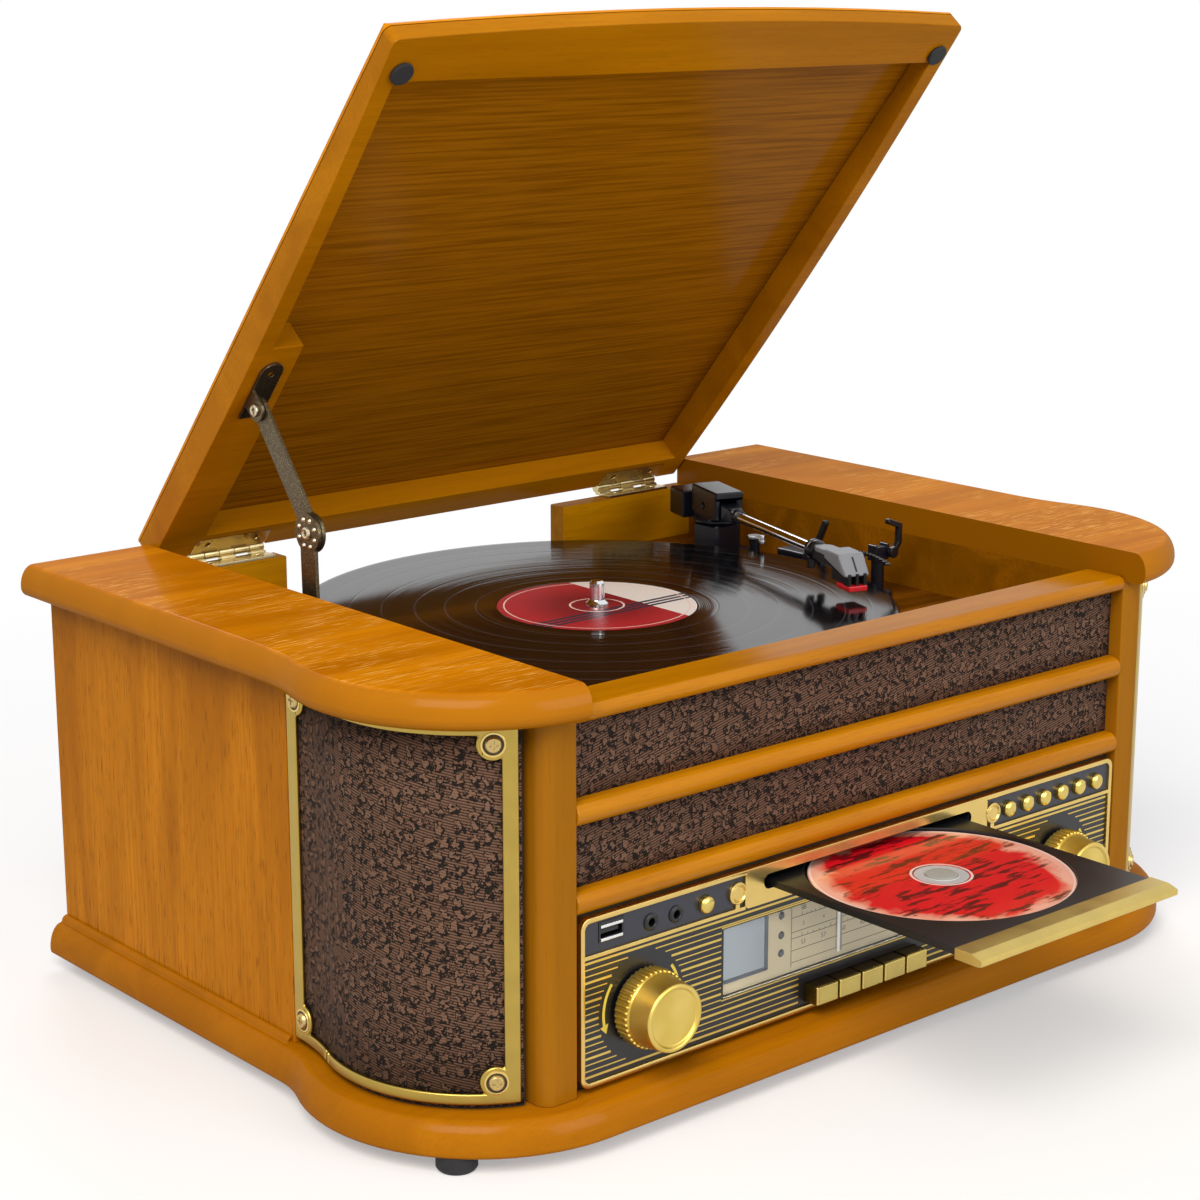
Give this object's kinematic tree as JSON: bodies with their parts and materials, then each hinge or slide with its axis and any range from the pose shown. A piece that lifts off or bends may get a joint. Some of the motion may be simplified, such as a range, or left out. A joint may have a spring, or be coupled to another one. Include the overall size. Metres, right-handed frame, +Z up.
{
  "type": "stereo music centre",
  "caption": "Wooden table-top music centre with a lidded record deck, sliding disc tray, lit tuning dial, piano keys and curved loudspeaker corners.",
  "frame": {"origin": "middle of the rest pose's bounding box in plan, on the plane under the feet", "axes": "+X to the right seen from the front, +Y to the back, +Z up; the fascia faces -Y"},
  "size_m": [0.516, 0.4674, 0.4703],
  "materials": {
    "wood": "satin lacquered oak veneer, honey stain",
    "wood_dark": "satin lacquered veneer, darker stain",
    "fibreboard": "raw fibreboard",
    "cloth": "woven loudspeaker cloth",
    "gold": "satin gold plating",
    "brass": "polished brass",
    "antique": "antique plated steel",
    "black": "moulded",
    "rubber": "moulded",
    "navy": "moulded, printed",
    "vinyl": "pressed",
    "scale": "printed sheet",
    "clear": "clear moulded window",
    "board": "printed circuit board",
    "silver": "satin",
    "disc": "printed disc face"
  },
  "bodies": {
    "cabinet": {"base_plinth": "wood", "feet": "rubber", "side_panels": "wood", "back_panel": "fibreboard", "inner_walls": "wood", "front_pillars": "wood", "top_board_left": "wood", "top_board_right": "wood", "front_rails": "wood", "front_cloths": "cloth", "speaker_units": "black", "speaker_cloths": "cloth", "speaker_frame_left": "gold", "speaker_frame_right": "gold", "frame_screws": "gold", "deck_board": "wood_dark", "hinge_blocks": "wood", "cabinet_fittings": "brass", "fascia_panel": "navy", "fascia_trim": "gold", "dial_scale": "scale", "dial_window": "clear", "front_sockets": "black", "electronics": "board", "cd_mechanism": "black", "rear_sockets": "black", "tonearm_base": "black"},
    "lid": {"lid_panel": "wood", "lid_frame": "wood", "lid_bumpers": "rubber", "lid_fittings": "brass"},
    "stay_upper": {"stay_upper_arm": "antique"},
    "stay_lower": {"stay_lower_arm": "antique"},
    "turntable": {"platter": "silver", "platter_mat": "rubber", "record": "vinyl"},
    "tonearm_yaw": {"tonearm_gimbal": "navy"},
    "tonearm": {"tonearm_tube": "silver", "headshell": "black"},
    "cue": {"cue_lever": "black"},
    "speed": {"speed_lever": "silver"},
    "clip": {"arm_clip": "black"},
    "tray": {"cd_tray": "black", "tray_bezel": "gold", "disc": "disc"},
    "volume": {"volume_knob": "gold"},
    "tuning": {"tuning_knob": "gold"},
    "pointer": {"dial_pointer": "silver"},
    "key_1": {"key_1": "gold"},
    "key_2": {"key_2": "gold"},
    "key_3": {"key_3": "gold"},
    "key_4": {"key_4": "gold"},
    "key_5": {"key_5": "gold"},
    "button_1": {"button_1": "gold"},
    "button_2": {"button_2": "gold"},
    "button_3": {"button_3": "gold"},
    "button_4": {"button_4": "gold"},
    "button_5": {"button_5": "gold"},
    "button_6": {"button_6": "gold"},
    "button_7": {"button_7": "gold"}
  },
  "joints": [
    {"name": "lid_hinge", "type": "hinge", "parent": "cabinet", "child": "lid", "pos_m": [0, 0.22218, 0.1972], "axis": [1, 0, 0], "range_deg": [0, 50.2]},
    {"name": "stay_lid_pivot", "type": "hinge", "parent": "lid", "child": "stay_upper", "pos_m": [-0.168, 0.13216, 0.28622], "axis": [1, 0, 0], "range_deg": [-97.6, 0]},
    {"name": "stay_wall_pivot", "type": "hinge", "parent": "cabinet", "child": "stay_lower", "pos_m": [-0.1695, 0.09048, 0.1735], "axis": [1, 0, 0], "range_deg": [0, 88.2]},
    {"name": "platter_spin", "type": "hinge", "parent": "cabinet", "child": "turntable", "pos_m": [-0.015, 0.06628, 0.17], "axis": [0, 0, 1], "continuous": true},
    {"name": "tonearm_swing", "type": "hinge", "parent": "cabinet", "child": "tonearm_yaw", "pos_m": [0.1395, 0.14328, 0.197], "axis": [0, 0, 1], "range_deg": [-26, 24]},
    {"name": "tonearm_lift", "type": "hinge", "parent": "tonearm_yaw", "child": "tonearm", "pos_m": [0.1395, 0.14328, 0.197], "axis": [0.9466, -0.3223, 0], "range_deg": [-7, 0]},
    {"name": "cue_lever_turn", "type": "hinge", "parent": "cabinet", "child": "cue", "pos_m": [0.16, 0.08829, 0.175], "axis": [1, 0, 0], "range_deg": [-60, 0]},
    {"name": "speed_lever_turn", "type": "hinge", "parent": "cabinet", "child": "speed", "pos_m": [0.141, 0.11428, 0.183], "axis": [0, 0, 1], "range_deg": [-20, 20]},
    {"name": "arm_clip_turn", "type": "hinge", "parent": "cabinet", "child": "clip", "pos_m": [0.155, 0.02379, 0.188], "axis": [0, -1, 0], "range_deg": [-50, 0]},
    {"name": "tray_slide", "type": "slide", "parent": "cabinet", "child": "tray", "axis": [0, 1, 0], "range_m": [0, 0.108]},
    {"name": "volume_turn", "type": "hinge", "parent": "cabinet", "child": "volume", "pos_m": [-0.1405, -0.10971, 0.056], "axis": [0, 1, 0], "range_deg": [-120, 160]},
    {"name": "tuning_turn", "type": "hinge", "parent": "cabinet", "child": "tuning", "pos_m": [0.1355, -0.10971, 0.056], "axis": [0, 1, 0], "range_deg": [-225, 855]},
    {"name": "pointer_slide", "type": "slide", "parent": "cabinet", "child": "pointer", "axis": [1, 0, 0], "range_m": [-0.025, 0.095]},
    {"name": "key_1_press", "type": "slide", "parent": "cabinet", "child": "key_1", "axis": [0, 1, 0], "range_m": [0, 0.004], "stiffness_N_per_m": 300},
    {"name": "key_2_press", "type": "slide", "parent": "cabinet", "child": "key_2", "axis": [0, 1, 0], "range_m": [0, 0.004], "stiffness_N_per_m": 300},
    {"name": "key_3_press", "type": "slide", "parent": "cabinet", "child": "key_3", "axis": [0, 1, 0], "range_m": [0, 0.004], "stiffness_N_per_m": 300},
    {"name": "key_4_press", "type": "slide", "parent": "cabinet", "child": "key_4", "axis": [0, 1, 0], "range_m": [0, 0.004], "stiffness_N_per_m": 300},
    {"name": "key_5_press", "type": "slide", "parent": "cabinet", "child": "key_5", "axis": [0, 1, 0], "range_m": [0, 0.004], "stiffness_N_per_m": 300},
    {"name": "button_1_press", "type": "slide", "parent": "cabinet", "child": "button_1", "axis": [0, 1, 0], "range_m": [0, 0.0015], "stiffness_N_per_m": 400},
    {"name": "button_2_press", "type": "slide", "parent": "cabinet", "child": "button_2", "axis": [0, 1, 0], "range_m": [0, 0.0015], "stiffness_N_per_m": 400},
    {"name": "button_3_press", "type": "slide", "parent": "cabinet", "child": "button_3", "axis": [0, 1, 0], "range_m": [0, 0.0015], "stiffness_N_per_m": 400},
    {"name": "button_4_press", "type": "slide", "parent": "cabinet", "child": "button_4", "axis": [0, 1, 0], "range_m": [0, 0.0015], "stiffness_N_per_m": 400},
    {"name": "button_5_press", "type": "slide", "parent": "cabinet", "child": "button_5", "axis": [0, 1, 0], "range_m": [0, 0.0015], "stiffness_N_per_m": 400},
    {"name": "button_6_press", "type": "slide", "parent": "cabinet", "child": "button_6", "axis": [0, 1, 0], "range_m": [0, 0.0015], "stiffness_N_per_m": 400},
    {"name": "button_7_press", "type": "slide", "parent": "cabinet", "child": "button_7", "axis": [0, 1, 0], "range_m": [0, 0.0015], "stiffness_N_per_m": 400}
  ],
  "couplings": [
    {"joint": "pointer_slide", "follows": "tuning_turn", "m_per_rad": 0.006366},
    {"joint": "stay_wall_pivot", "follows": "lid_hinge", "ratio": 1.738},
    {"joint": "stay_lid_pivot", "follows": "lid_hinge", "ratio": -1.9242}
  ]
}
